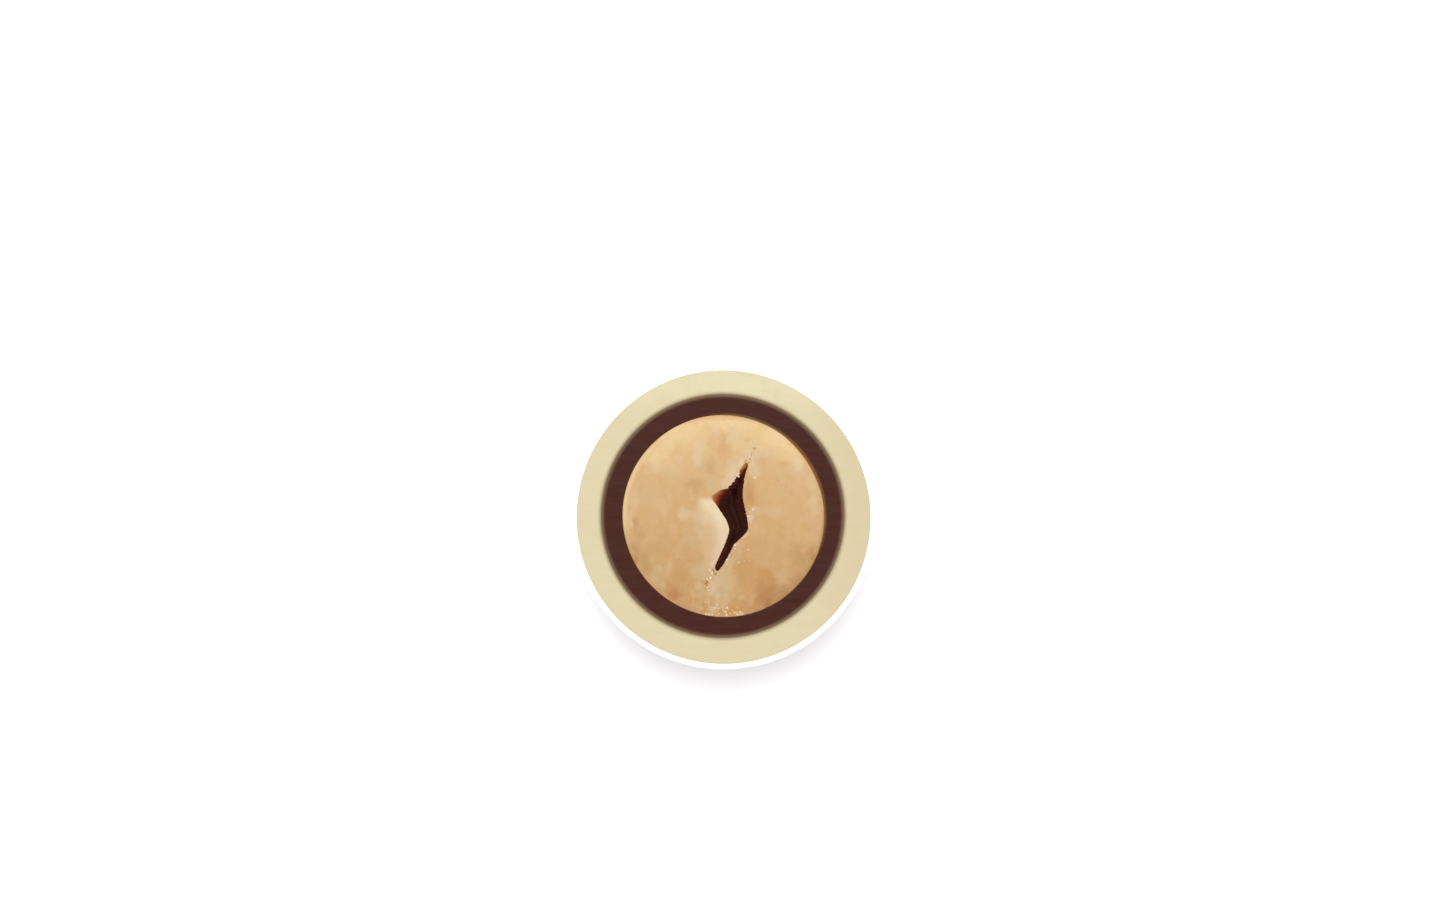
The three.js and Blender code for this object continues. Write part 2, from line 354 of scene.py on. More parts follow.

# How much light reaches the walls, found with rays that go up from them to the sky all round and to
# the lamp overhead. Their colour is painted paler where less does, painted light that cancels their
# real shade, so that the hollow looks evenly dark with its painted shade.
SKY_RAYS = 420
LAMP_SHARE = 0.38
LAMP_RAYS = [(x, y, 1) for x in (-0.13, 0, 0.13) for y in (0.11, 0.24, 0.37)]
RAY_STATIONS = 4
RAY_CLEARANCE = 0.01
LEAST_LIGHT = 0.01
# How many times paler the painted light makes them at most, where the walls' painted shade is light
# and where it is dark
PALEST, PALEST_TONES = (1.7, 40), (0.6, 0.9)


def ring_quads(count, around):
    """The faces between rings of points, as four point numbers each."""
    here = np.arange(around)
    beside = np.roll(here, -1)
    quads = np.stack([here, beside, around + beside, around + here], axis=-1)
    ring_starts = np.arange(count - 1)[:, None, None] * around
    return (ring_starts + quads).reshape(-1, 4).tolist()


def smoothed(values):
    """Values along their first axis, evened out between neighbours."""
    return (values[:-2] + 2 * values[1:-1] + values[2:]) / 4


def light_on_walls(rings):
    """The share of the light on the open face that reaches each point of these rings."""
    count, around, _ = rings.shape
    along = np.roll(rings, -1, axis=1) - np.roll(rings, 1, axis=1)
    normals = np.cross(along, np.gradient(rings, axis=0))
    normals[0] = (0, 0, 1)
    normals /= np.linalg.norm(normals, axis=-1)[..., None]
    obstacle = BVHTree.FromPolygons(rings.reshape(-1, 3).tolist(), ring_quads(count, around))
    step = np.arange(SKY_RAYS) + 0.5
    rise, turn = step / SKY_RAYS, step * math.pi * (3 - math.sqrt(5))
    sky = around_axis(np.sqrt(1 - rise**2), turn, rise)
    rays = [(Vector(way), 2 * (1 - LAMP_SHARE) / SKY_RAYS) for way in sky]
    rays += [(Vector(way).normalized(), LAMP_SHARE / len(LAMP_RAYS)) for way in LAMP_RAYS]
    light = np.zeros((count, around))
    sampled = range(0, around, RAY_STATIONS)
    for ring in range(count):
        for station in sampled:
            normal = Vector(normals[ring, station])
            start = Vector(rings[ring, station]) + normal * RAY_CLEARANCE
            facing = [(way, weight * normal.dot(way)) for way, weight in rays if normal.dot(way) > 0]
            light[ring, station] = sum(
                share for way, share in facing if obstacle.ray_cast(start, way)[0] is None
            )
        found = light[ring, ::RAY_STATIONS]
        found = smoothed(np.concatenate([found[-1:], found, found[:1]]))
        light[ring] = np.interp(range(around), sampled, found, period=around)
    light[1:-1] = smoothed(light)
    return np.maximum(light, LEAST_LIGHT)


palest = np.interp(wall_tone[:WALL_RINGS], PALEST_TONES, PALEST)
wall_pale = np.ones(hollow_depth.shape)
wall_pale[:WALL_RINGS] = np.clip(1 / light_on_walls(kernel_rings[:WALL_RINGS]), 1, palest)

# The pale lip lies along the left wall, and laps a little over its mouth. At each height: its
# width, its strength, and the share of its width from which it fades out to just past that.
LIP = [
    (-3.4, 0.5, 0.15, 0.0), (-3.0, 0.8, 0.45, 0.0), (-2.5, 1.15, 0.6, 0.0),
    (-2.0, 1.35, 0.72, 0.0), (-1.5, 1.45, 0.82, 0.05), (-1.0, 1.45, 0.9, 0.15),
    (-0.7, 1.45, 0.92, 0.2), (-0.4, 1.55, 0.95, 0.2), (-0.1, 1.65, 1.0, 0.2),
    (0.2, 1.6, 1.0, 0.25), (0.5, 1.5, 1.0, 0.3), (1.0, 1.25, 0.92, 0.4),
    (1.18, 1.05, 0.5, 0.5), (1.36, 0.85, 0.0, 0.5),
]
LIP_OUTER_SHARE, LIP_OVERLAP = 1.08, 0.1
kernel_y = kernel_rings[..., 1]
left_of_wall = np.interp(kernel_y, station_y, left_x) - kernel_rings[..., 0]
lip_heights, *lip_values = np.array(LIP).T
lip_width, lip_strength, lip_edge = (np.interp(kernel_y, lip_heights, values) for values in lip_values)
lip = lip_strength * smooth_share(left_of_wall / lip_width, LIP_OUTER_SHARE, lip_edge)
lip = lip * (left_of_wall > -LIP_OVERLAP)


def mesh_piece(name, points, faces, **marks):
    """A piece through points in millimetres. Marks are numbers on the points, which a material reads
    by their names."""
    mesh = bpy.data.meshes.new(name)
    mesh.from_pydata((points * 0.001 + [0, 0, face_height]).tolist(), [], faces)
    mesh.shade_smooth()
    for label, values in marks.items():
        mesh.attributes.new(label, "FLOAT", "POINT").data.foreach_set("value", values.astype(np.float32))
    return set_down(name, mesh)


def ring_mesh(name, rings, first_end="point", **marks):
    """A closed piece through rings of points. It closes to a point at its last ring, and at its first
    to a point or, over the floor of the hollow, by rungs as on a ladder."""
    count, around, _ = rings.shape
    points = rings.reshape(-1, 3)
    top = len(points)
    ends = [rings[-1].mean(axis=0)]
    neighbours = [(i, (i + 1) % around) for i in range(around)]
    faces = ring_quads(count, around)
    faces += [(top - around + i, top - around + j, top) for i, j in neighbours]
    if first_end == "point":
        ends.append(rings[0].mean(axis=0))
        faces += [(j, i, top + 1) for i, j in neighbours]
    else:
        half = around // 2
        faces += [(1, 0, around - 1), (half, half - 1, half + 1)]
        faces += [(i + 1, i, around - i, around - i - 1) for i in range(1, half - 1)]
    no_marks = np.zeros(len(ends))
    marks = {label: np.append(values, no_marks) for label, values in marks.items()}
    return mesh_piece(name, np.concatenate([points, ends]), faces, **marks)


kernel = ring_mesh(
    "kernel",
    kernel_rings,
    first_end="rungs",
    hollow_depth=hollow_depth,
    wall_tone=wall_tone,
    wall_pale=wall_pale,
    edge_distance=edge_distance,
    lip=lip,
)

# The kernel's flesh
# Colours are the photograph's, 0 to 255. Under this light a surface shows this many times brighter
# than its own colour, which `seen` allows for. No colour of a surface is darker than the second.
LIGHT_ON_FACE, DARKEST = 1.62, 0.002


def seen(red, green, blue, shine=0.0):
    """The colour of a surface that looks like this in the photograph's light, where the shine on it
    adds this much white."""
    shares = [channel / 255 for channel in (red, green, blue)]
    linear = [s / 12.92 if s <= 0.04045 else ((s + 0.055) / 1.055) ** 2.4 for s in shares]
    return (*[min(max((channel - shine) / LIGHT_ON_FACE, DARKEST), 1) for channel in linear], 1)


def feed(node, inputs):
    """Gives a node its inputs, each a plain value or another node's output."""
    for name, value in inputs.items():
        if isinstance(value, bpy.types.NodeSocket):
            node.id_data.links.new(value, node.inputs[name])
        else:
            node.inputs[name].default_value = value


def add_node(kind, inputs, tree=None, **settings):
    """A shader node, in one tree with those that feed it."""
    if tree is None:
        tree = next(value.id_data for value in inputs.values() if isinstance(value, bpy.types.NodeSocket))
    made = tree.nodes.new("ShaderNode" + kind)
    for name, setting in settings.items():
        setattr(made, name, setting)
    feed(made, inputs)
    return made


def reckon(operation, first, second):
    """One step of arithmetic on numbers."""
    return add_node("Math", {0: first, 1: second}, operation=operation).outputs[0]


def reckon_vector(operation, first, second):
    """One step of arithmetic on places."""
    return add_node("VectorMath", {0: first, 1: second}, operation=operation).outputs[0]


plus, minus, times, over = (partial(reckon, step) for step in ("ADD", "SUBTRACT", "MULTIPLY", "DIVIDE"))


def scaled(vector, by):
    """A place or a colour, times a number."""
    return add_node("VectorMath", {0: vector, "Scale": by}, operation="SCALE").outputs[0]


def fade(value, low, high, to_low=0.0, to_high=1.0):
    """A value brought smoothly from one range to another, and held at its ends."""
    inputs = {0: value, 1: low, 2: high, 3: to_low, 4: to_high}
    return add_node("MapRange", inputs, interpolation_type="SMOOTHSTEP").outputs[0]


def tinted(share, colour, tint, strength=1.0, how="MIX"):
    """A colour with a share of a tint in it."""
    if strength != 1.0:
        share = times(share, strength)
    return add_node("Mix", {0: share, 6: colour, 7: tint}, data_type="RGBA", blend_type=how).outputs[2]


def colour_steps(value, *steps):
    """A colour that changes with a value from 0 to 1 through these steps, each of them a place on
    that way and the colour seen there."""
    ramp = add_node("ValToRGB", {0: value})
    elements = ramp.color_ramp.elements
    while len(elements) < len(steps):
        elements.new(0.5)
    for element, (position, *colour) in zip(elements, steps):
        element.position = position
        element.color = seen(*colour)
    return ramp.outputs[0]


def mark(tree, name):
    """A number that the mesh holds for each point."""
    return add_node("Attribute", {}, tree, attribute_name=name).outputs["Fac"]


def millimetres(tree):
    """Where a point lies, in millimetres from the middle of the cut face."""
    place = add_node("TexCoord", {}, tree).outputs["Object"]
    return scaled(reckon_vector("SUBTRACT", place, (0, 0, face_height)), 1000)


def turned(place, angle):
    """A place turned about the middle of the face."""
    return add_node("VectorRotate", {0: place, "Angle": angle}, rotation_type="Z_AXIS").outputs[0]


def effect_group(name, **inputs):
    """A node group for an effect at a place, and the outputs that hold what it is given."""
    group = bpy.data.node_groups.new(name, "ShaderNodeTree")
    for label, value in {"place": (0, 0, 0), **inputs}.items():
        kind = "NodeSocketVector" if isinstance(value, tuple) else "NodeSocketFloat"
        group.interface.new_socket(label, in_out="INPUT", socket_type=kind).default_value = value
    return group, group.nodes.new("NodeGroupInput").outputs


def give_back(group, label, value):
    """The end of an effect's group."""
    group.interface.new_socket(label, in_out="OUTPUT", socket_type="NodeSocketFloat")
    group.links.new(value, group.nodes.new("NodeGroupOutput").inputs[0])


def effect(group, place, **inputs):
    """What an effect gives at a place."""
    return add_node("Group", {"place": place, **inputs}, node_tree=group).outputs[0]


# Clouds: a soft shade from -1 to 1 that changes over about this many millimetres
NOISE_LOW, NOISE_HIGH = 0.28, 0.72
clouds, given = effect_group("clouds", size=1.0, seed=0.0)
inputs = {"Vector": given["place"], "Scale": over(1.0, given["size"]), "W": given["seed"], "Detail": 2.0}
noise = add_node("TexNoise", inputs, noise_dimensions="4D").outputs[0]
shade = add_node("MapRange", {0: noise, 1: NOISE_LOW, 2: NOISE_HIGH, 3: -1.0, 4: 1.0}).outputs[0]
give_back(clouds, "shade", shade)

# Patch: a round or oval patch on the cut face, which fades out from this share of its size on
FULL_PATCH = 0.2
patch, given = effect_group("patch", middle=(0, 0, 0), half_size=(1, 1, 1), turn=0.0)
local = turned(reckon_vector("SUBTRACT", given["place"], given["middle"]), times(given["turn"], -1.0))
shares = reckon_vector("DIVIDE", local, given["half_size"])
distance = add_node("VectorMath", {0: shares}, operation="LENGTH").outputs["Value"]
give_back(patch, "mask", fade(distance, 1.0, FULL_PATCH))

# Flecks: small round spots, one in some of the cells of an uneven grid, with soft edges too
FULL_FLECK = 0.4
flecks, given = effect_group("flecks", spacing=0.5, size=0.1, share=0.3, seed=0.0)
inputs = {"Vector": given["place"], "Scale": over(1.0, given["spacing"]), "W": given["seed"]}
cells = add_node("TexVoronoi", inputs, voronoi_dimensions="4D").outputs
spot = fade(over(cells["Distance"], over(given["size"], given["spacing"])), 1.0, FULL_FLECK)
chance = add_node("SeparateColor", {0: cells["Color"]}).outputs[0]
give_back(flecks, "mask", times(spot, reckon("LESS_THAN", chance, given["share"])))


def cloud(place, size, seed):
    """The clouds' shade."""
    return effect(clouds, place, size=size, seed=seed)


def clouded(colour, place, size, seed, low, strength, tint):
    """A colour with clouds of a tint over it, from this shade of the clouds up."""
    return tinted(fade(cloud(place, size, seed), low, 1.0, to_high=strength), colour, tint)


def patch_mask(place, x, y, half_width, half_height, turn):
    """Where a patch of the cut face lies. Its turn is in degrees."""
    half_size = (half_width, half_height, 100)
    return effect(patch, place, middle=(x, y, 0), half_size=half_size, turn=math.radians(turn))


def new_material(piece, name, roughness, specular):
    """A piece's material with a plain shine, as its node tree and its shader."""
    material = bpy.data.materials.new(name)
    piece.data.materials.append(material)
    material.use_nodes = True
    shader = material.node_tree.nodes["Principled BSDF"]
    feed(shader, {"Roughness": roughness, "Specular IOR Level": specular})
    return material.node_tree, shader


def raised(height, depth, strength):
    """The normal of a surface with fine relief, this deep in millimetres."""
    inputs = {"Height": height, "Distance": 0.001 * depth, "Strength": strength}
    return add_node("Bump", inputs).outputs[0]


# The tones of its clouds, patches and lip
FLESH = {
    "bright": (246, 215, 164), "cream": (236, 209, 151), "green": (222, 203, 158),
    "pale": (231, 203, 160), "white": (234, 208, 178), "grey": (213, 186, 142),
    "rosy": (226, 180, 140), "honey": (221, 181, 121), "tan": (214, 168, 115),
    "peach": (217, 159, 103), "brown": (206, 160, 106), "warm": (204, 152, 94),
    "ochre": (206, 164, 94), "orange": (210, 150, 85), "olive": (194, 154, 102),
    "dusky": (184, 142, 92), "toasted": (190, 133, 80), "rusty": (176, 118, 74),
    "lip": (242, 222, 184), "lower lip": (238, 213, 184), "torn": (240, 210, 184),
    "slit": (178, 126, 66), "gap": (150, 124, 74),
}
FLESH = {name: seen(*tone) for name, tone in FLESH.items()}
# It is paler the higher up, partly its own colour and partly painted light from above, over this far
# each way from the middle
GRADIENT_HALF = 7.5

tree, shader = new_material(kernel, "roasted_kernel", roughness=0.62, specular=0.12)
place = millimetres(tree)
height = add_node("SeparateXYZ", {0: place}).outputs["Y"]
colour = colour_steps(
    add_node("MapRange", {0: height, 1: -GRADIENT_HALF, 2: GRADIENT_HALF}).outputs[0],
    (0.12, 203, 157, 104), (0.26, 208, 165, 112), (0.5, 217, 175, 122),
    (0.72, 223, 183, 131), (0.86, 237, 202, 146), (0.98, 243, 209, 153),
)

# Streaky clouds all over: size, seed, from which shade up, strength and tone
STREAKS = (1.0, 0.5, 1.0)
drawn_up = reckon_vector("MULTIPLY", place, STREAKS)
for size, seed, low, strength, tone in (
    (1.1, 5, 0.0, 0.35, "rosy"),
    (1.0, 9, 0.05, 0.3, "ochre"),
    (0.8, 15, 0.05, 0.25, "pale"),
    (1.5, 21, 0.0, 0.2, "brown"),
    (0.4, 33, 0.2, 0.2, "rosy"),
    (0.4, 37, 0.2, 0.2, "grey"),
):
    colour = clouded(colour, drawn_up, size, seed, low, strength, FLESH[tone])

# The patches that the roasting left, on a place that wanders a little so that they are ragged.
# Each has x, y, half width and half height in mm, turn in degrees, strength and tone.
WANDER, WANDERS_PER_MM = 0.7, 1.6
PATCHES = [
    # The upper half of the face
    (3.5, 5.1, 1.6, 1.0, -35, 0.75, "bright"), (4.5, 4.3, 1.3, 0.5, -42, 0.5, "bright"),
    (-3.0, 5.4, 2.0, 0.9, 28, 0.6, "bright"), (0.8, 6.2, 2.6, 0.6, 0, 0.6, "bright"),
    (0.5, 6.45, 1.4, 0.3, 0, 0.4, "tan"), (-0.4, 6.2, 1.3, 0.4, 0, 0.4, "bright"),
    (2.2, 5.6, 0.7, 0.5, 0, 0.4, "cream"), (2.35, 4.8, 0.5, 0.6, 0, 0.4, "white"),
    (2.5, 5.25, 0.4, 0.4, 0, 0.4, "bright"), (2.45, 4.15, 0.5, 0.5, 0, 0.45, "white"),
    (2.6, 4.3, 0.9, 0.8, 0, 0.35, "bright"), (-0.8, 4.8, 0.4, 0.8, 0, 0.35, "tan"),
    (-0.5, 5.7, 0.4, 0.4, 0, 0.5, "white"), (0.0, 4.7, 0.7, 1.3, 5, 0.6, "tan"),
    (-0.35, 5.3, 0.4, 0.5, 0, 0.35, "rosy"), (-0.9, 3.3, 0.6, 1.0, -15, 0.35, "olive"),
    (-1.85, 2.25, 1.0, 0.6, 10, 0.5, "olive"), (-2.6, 1.4, 0.6, 0.9, 0, 0.35, "tan"),
    (-1.6, 4.5, 0.5, 1.4, 5, 0.35, "white"), (-1.75, 3.7, 0.5, 0.9, 5, 0.45, "white"),
    (0.7, 5.4, 0.9, 0.9, 0, 0.6, "pale"), (1.6, 4.6, 0.9, 1.3, 10, 0.5, "pale"),
    (1.85, 3.9, 0.35, 0.7, 0, 0.5, "white"), (0.6, 3.3, 0.8, 1.2, -30, 0.5, "pale"),
    (1.15, 3.6, 0.3, 0.6, 0, 0.6, "white"), (2.3, 3.6, 0.6, 1.3, -5, 0.5, "grey"),
    (2.1, 3.0, 0.5, 0.7, 0, 0.4, "white"), (1.6, 5.05, 0.35, 0.35, 0, 0.6, "honey"),
    (3.95, 3.4, 0.6, 0.5, 0, 0.4, "honey"), (3.8, 4.0, 0.9, 0.5, 0, 0.4, "cream"),
    (4.8, 3.5, 0.6, 0.5, -30, 0.6, "pale"), (4.7, 3.6, 0.9, 0.5, -30, 0.35, "bright"),
    (4.7, 3.05, 1.2, 0.55, -10, 0.2, "white"), (5.7, 2.3, 0.5, 0.8, 20, 0.35, "pale"),
    (-3.8, 4.75, 0.9, 0.5, 40, 0.4, "cream"), (-4.7, 4.0, 0.7, 0.8, -30, 0.6, "cream"),
    (-4.5, 3.2, 0.9, 0.5, 0, 0.4, "pale"), (-4.1, 4.0, 1.5, 1.0, 35, 0.45, "bright"),
    (-3.6, 3.2, 1.4, 0.8, 0, 0.25, "bright"), (-4.0, 3.6, 0.5, 0.4, 0, 0.4, "honey"),
    (-2.9, 3.9, 0.4, 0.4, 0, 0.3, "white"), (-3.7, 3.0, 0.9, 0.7, 0, 0.4, "grey"),
    (-5.6, 3.2, 0.4, 0.7, -25, 0.3, "rosy"),
    # Round the hollow's upper end
    (0.5, 2.75, 0.5, 0.9, -42, 0.45, "white"), (0.05, 2.1, 0.45, 0.35, 40, 0.4, "white"),
    (0.85, 3.3, 0.3, 0.4, 0, 0.4, "white"), (1.75, 3.4, 0.2, 0.35, 0, 0.5, "white"),
    (-0.7, 2.35, 0.6, 0.8, -45, 0.55, "grey"), (-1.9, 1.75, 0.4, 0.4, 0, 0.5, "olive"),
    # The left
    (-1.8, 0.9, 0.5, 0.6, 0, 0.4, "tan"), (-4.9, 1.5, 1.0, 1.4, 0, 0.4, "grey"),
    (-5.9, 1.2, 0.5, 1.4, 0, 0.35, "pale"), (-6.2, -0.1, 0.4, 0.9, 0, 0.4, "pale"),
    (-4.0, 0.6, 0.6, 0.9, 0, 0.3, "pale"),
    # The right
    (4.3, 1.7, 1.4, 1.2, 0, 0.2, "grey"), (4.2, 2.1, 0.8, 0.6, 0, 0.2, "rosy"),
    (5.9, 0.9, 0.5, 1.2, 0, 0.4, "pale"), (3.4, -0.3, 1.4, 0.9, 0, 0.4, "tan"),
    (3.2, 0.35, 1.5, 0.6, 0, 0.2, "white"), (5.4, -0.75, 0.8, 0.5, 0, 0.5, "tan"),
    (4.8, -0.9, 1.2, 1.0, 0, 0.3, "honey"),
    # Left of the lip
    (-3.2, 0.5, 0.35, 1.1, 0, 0.5, "tan"), (-2.55, 0.25, 0.7, 0.55, 0, 0.35, "white"),
    (-1.7, 0.2, 0.8, 0.8, 0, 0.3, "white"), (-1.1, -0.15, 0.6, 0.5, 0, 0.4, "white"),
    (-1.9, -1.1, 1.1, 1.5, 0, 0.4, "grey"), (-1.1, -0.8, 0.9, 1.2, 10, 0.35, "pale"),
    (-1.35, -2.1, 0.6, 0.7, 0, 0.4, "honey"), (-3.3, -0.9, 0.45, 0.7, 0, 0.4, "rosy"),
    # The lower left
    (-5.75, -0.5, 0.3, 0.7, 0, 0.6, "olive"), (-5.4, -1.1, 0.5, 0.5, 0, 0.5, "olive"),
    (-5.8, -2.1, 0.5, 0.8, 10, 0.75, "olive"), (-4.6, -2.2, 1.2, 0.7, 0, 0.55, "brown"),
    (-3.65, -2.5, 0.45, 0.42, 0, 0.75, "peach"), (-2.4, -2.5, 0.7, 0.7, 0, 0.4, "brown"),
    (-3.0, -2.9, 0.5, 0.4, 0, 0.3, "warm"), (-5.15, -3.1, 0.65, 1.3, 20, 0.7, "olive"),
    (-5.8, -2.8, 0.35, 0.55, 25, 0.8, "toasted"), (-4.3, -3.4, 0.6, 0.5, 0, 0.4, "grey"),
    (-4.5, -4.1, 0.7, 0.5, -40, 0.5, "grey"), (-2.75, -3.95, 1.2, 0.95, -15, 0.7, "warm"),
    (-3.8, -4.9, 0.6, 0.4, -40, 0.6, "dusky"), (-3.2, -5.0, 0.75, 0.7, 30, 0.85, "toasted"),
    (-3.2, -5.4, 0.5, 0.3, 25, 0.6, "toasted"), (-2.2, -5.5, 0.7, 0.5, 0, 0.3, "brown"),
    (-1.4, -3.7, 1.15, 1.2, 0, 0.6, "grey"), (-1.3, -5.0, 1.1, 0.5, 0, 0.4, "grey"),
    (-1.7, -5.7, 0.5, 0.4, 0, 0.3, "grey"), (-1.0, -5.55, 0.35, 0.35, 0, 0.4, "green"),
    (-1.6, -4.5, 0.4, 0.3, 0, 0.25, "white"), (-3.9, -3.9, 0.35, 0.35, 0, 0.4, "grey"),
    (-3.65, -4.5, 0.35, 0.35, 0, 0.45, "toasted"), (-0.8, -4.5, 0.4, 1.0, -8, 0.4, "white"),
    (-0.75, -3.2, 0.35, 1.0, -15, 0.3, "white"),
    # Below the hollow, and the lower right
    (0.1, -4.2, 1.0, 2.0, 5, 0.75, "grey"), (0.5, -2.9, 0.35, 0.9, -25, 0.5, "grey"),
    (1.4, -3.5, 1.1, 1.4, 0, 0.65, "warm"), (1.3, -5.2, 0.35, 0.35, 0, 0.25, "white"),
    (0.5, -4.1, 0.35, 0.5, 0, 0.35, "tan"), (2.3, -3.0, 0.4, 0.4, 0, 0.3, "ochre"),
    (1.7, -4.6, 0.6, 0.5, 0, 0.5, "peach"), (2.3, -4.3, 0.9, 0.6, 0, 0.7, "warm"),
    (2.9, -1.9, 1.8, 1.3, 0, 0.25, "tan"), (2.1, -1.5, 0.7, 0.7, 0, 0.5, "tan"),
    (2.75, -3.7, 0.95, 0.65, -30, 0.95, "warm"), (2.7, -3.6, 0.6, 0.3, -30, 0.5, "orange"),
    (3.2, -4.1, 0.6, 0.45, -40, 0.4, "warm"), (3.9, -3.8, 0.5, 0.7, 0, 0.4, "grey"),
    (5.1, -2.8, 0.9, 1.5, 25, 0.8, "olive"), (6.0, -2.1, 0.3, 0.6, -15, 0.6, "olive"),
    (4.8, -4.2, 0.7, 0.7, 42, 0.7, "dusky"), (4.2, -4.4, 0.5, 0.4, 0, 0.3, "grey"),
    (3.9, -4.9, 1.0, 0.6, 35, 0.9, "dusky"), (2.9, -5.2, 1.1, 1.0, 20, 0.9, "dusky"),
    (2.8, -5.1, 0.9, 0.8, 20, 0.6, "toasted"), (2.9, -4.5, 1.0, 0.8, 0, 0.35, "toasted"),
    (1.95, -5.95, 0.6, 0.32, 12, 0.6, "toasted"), (2.1, -4.8, 0.4, 0.4, 0, 0.4, "toasted"),
    (5.75, -2.4, 0.4, 0.5, 0, 0.45, "toasted"), (2.3, -5.6, 0.7, 0.35, 18, 0.5, "toasted"),
    (2.9, -5.55, 0.5, 0.35, 28, 0.7, "rusty"), (5.85, -2.65, 0.35, 0.5, -20, 0.85, "dusky"),
    # Along the hollow's right wall
    (1.6, 1.6, 0.7, 1.7, 5, 1.0, "brown"), (1.7, 1.15, 0.4, 0.8, 0, 0.6, "warm"),
    (1.65, 0.76, 0.5, 0.35, 0, 1.0, "ochre"), (1.95, 0.5, 0.45, 0.22, 10, 0.5, "white"),
    (1.75, -0.1, 0.35, 0.5, 0, 0.7, "white"), (1.45, -1.15, 0.5, 0.14, 42, 0.6, "white"),
    # The bottom edge
    (-0.65, -6.05, 0.42, 0.38, 0, 0.7, "green"), (0.5, -6.1, 0.45, 0.45, 0, 0.8, "peach"),
    (1.0, -6.1, 0.6, 0.4, 0, 0.35, "orange"), (0.45, -6.3, 0.6, 0.3, 0, 0.8, "orange"),
    (-0.3, -6.2, 0.7, 0.4, 0, 0.85, "warm"), (-1.25, -5.9, 0.3, 0.4, 0, 0.7, "warm"),
    (-1.05, -6.4, 0.45, 0.2, 10, 0.7, "torn"), (1.1, -6.4, 0.7, 0.2, -10, 0.6, "torn"),
]
# Small marks at the ends of the hollow, on the true place
SMALL_MARKS = [
    (-1.13, -4.32, 0.16, 0.38, -32, 1.0, "slit"), (-1.42, -4.25, 0.18, 0.15, 0, 0.8, "olive"),
    (-0.7, -3.49, 0.1, 0.2, 35, 1.0, "gap"), (-0.54, -3.71, 0.17, 0.15, 0, 1.0, "gap"),
    (0.02, -3.02, 0.08, 0.6, -33, 0.6, "white"), (0.35, -2.5, 0.1, 0.35, -30, 0.35, "white"),
    (0.8, -1.8, 0.3, 0.15, 40, 0.35, "white"), (0.5, 2.38, 0.66, 0.12, 44, 0.5, "torn"),
    (0.99, 2.95, 0.15, 0.35, 0, 0.6, "torn"), (3.57, 2.4, 0.17, 0.14, 0, 0.4, "olive"),
    (4.1, 2.05, 0.15, 0.14, 0, 0.35, "olive"), (1.44, 3.63, 0.14, 0.22, 0, 0.75, "olive"),
    (1.65, 3.58, 0.06, 0.18, -10, 0.8, "slit"), (1.75, 3.79, 0.13, 0.09, 0, 0.9, "olive"),
    (1.83, 4.1, 0.07, 0.26, 0, 0.8, "olive"), (2.02, 4.5, 0.16, 0.14, 0, 0.9, "olive"),
    (2.0, 2.6, 0.2, 0.13, 0, 0.6, "white"),
]
noise = add_node("TexNoise", {"Vector": place, "Scale": WANDERS_PER_MM, "Detail": 1.0})
off = scaled(reckon_vector("SUBTRACT", noise.outputs["Color"], (0.5, 0.5, 0.5)), WANDER)
wandering = reckon_vector("ADD", place, off)
for at, patches in ((wandering, PATCHES), (place, SMALL_MARKS)):
    for *outline, strength, tone in patches:
        colour = tinted(patch_mask(at, *outline), colour, FLESH[tone], strength)

# Paler and darker grains, and a few tiny specks
GRAIN_CONTRAST = 0.014
grains = plus(cloud(place, 0.45, 12), cloud(place, 0.16, 14))
colour = scaled(colour, plus(1.0, times(grains, GRAIN_CONTRAST)))
for spacing, size, tone in ((0.7, 0.08, "bright"), (0.9, 0.07, "toasted")):
    specks = effect(flecks, place, spacing=spacing, size=size, share=0.15, seed=size)
    colour = tinted(specks, colour, FLESH[tone], strength=0.4)

# The lip, which is rosier below than above these heights
ROSY_BELOW, PALE_ABOVE = -1.2, 0.3
lip_colour = tinted(fade(height, ROSY_BELOW, PALE_ABOVE), FLESH["lower lip"], FLESH["lip"])
colour = tinted(mark(tree, "lip"), colour, lip_colour)

# Tints along the kernel's edge: the sides that they lie on, as degrees from X with how far out they
# start and are full, then how far in from the edge they start and are full, strength and colour
EDGE_TINTS = [
    ([(180, 4.2, 5.8), (90, -2.0, 0.5)], (0.45, 0.1), 0.55, FLESH["bright"]),
    ([(-35, 4.2, 5.8)], (0.28, 0.02), 0.4, seen(158, 112, 66)),
    ([(90, 5.8, 6.4)], (0.4, 0.05), 0.7, seen(228, 182, 134)),
]


def on_side(place, degrees, start, full):
    """Where the face lies this far out towards one side."""
    side = around_axis(1, math.radians(degrees), 0)
    outwards = add_node("VectorMath", {0: place, 1: side}, operation="DOT_PRODUCT")
    return fade(outwards.outputs["Value"], start, full)


from_edge = mark(tree, "edge_distance")
for sides, (start, full), strength, tint in EDGE_TINTS:
    share = fade(from_edge, start, full)
    for side in sides:
        share = times(share, on_side(place, *side))
    colour = tinted(share, colour, tint, strength)

# A golden-brown band along the kernel's edge and the chocolate beside it at the upper right, partly
# roasted skin and partly painted shade of the edge, strongest at one place there: towards which side,
# and how far out that starts and is full
SKIN_AND_SHADE_SIDE, MOST_SKIN_AND_SHADE_SIDE = (40, 2.6, 5.6), (33, 6.1, 6.6)


def skin_and_shade_band(place, distance, start, full, further):
    """How strong the band of roasted skin and painted shade is at a point, by its distance from the
    kernel's edge, and the band's colour. The band reaches this much further where it is strongest."""
    toasted = on_side(place, *SKIN_AND_SHADE_SIDE)
    most = on_side(place, *MOST_SKIN_AND_SHADE_SIDE)
    distance = minus(distance, fade(most, 0.0, 1.0, to_high=further))
    share = times(fade(distance, start, full), toasted)
    return share, tinted(most, seen(126, 94, 52), seen(140, 88, 36))
